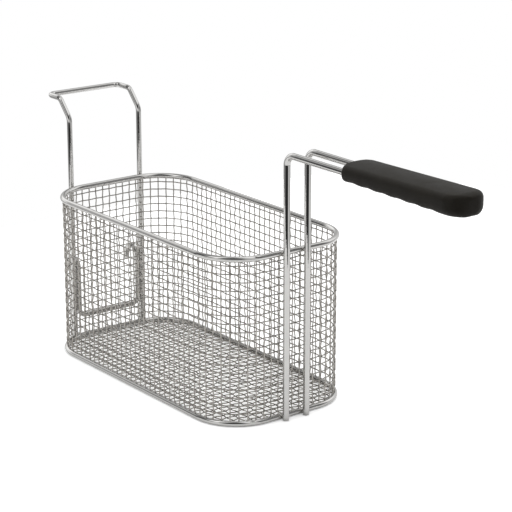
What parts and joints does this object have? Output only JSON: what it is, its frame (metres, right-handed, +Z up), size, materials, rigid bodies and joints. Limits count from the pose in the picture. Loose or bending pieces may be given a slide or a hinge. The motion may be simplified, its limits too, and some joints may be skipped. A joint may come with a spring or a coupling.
{
  "type": "deep fryer basket",
  "caption": "Oblong woven wire basket with round corners and heavy wire rims, a bent wire handle with a moulded grip, a tall rear hook and a low drain hook, for frying food in hot oil.",
  "frame": {"origin": "middle of the whole part's footprint, on the surface that the basket stands on", "axes": "+X along the basket from the rear hook towards the grip, +Y across the basket, +Z up"},
  "size_m": [0.4715, 0.1254, 0.2129],
  "materials": {
    "mesh_steel": "bright woven steel wire",
    "wire_steel": "polished plated steel wire",
    "grip_plastic": "charcoal moulded grip with a fine satin grain"
  },
  "bodies": {
    "root": {"wall_mesh": "mesh_steel", "floor_mesh": "mesh_steel", "rim_wire": "wire_steel", "base_wire": "wire_steel", "rear_hook": "wire_steel", "drain_hook": "wire_steel", "handle_wire": "wire_steel", "grip": "grip_plastic"}
  },
  "joints": []
}
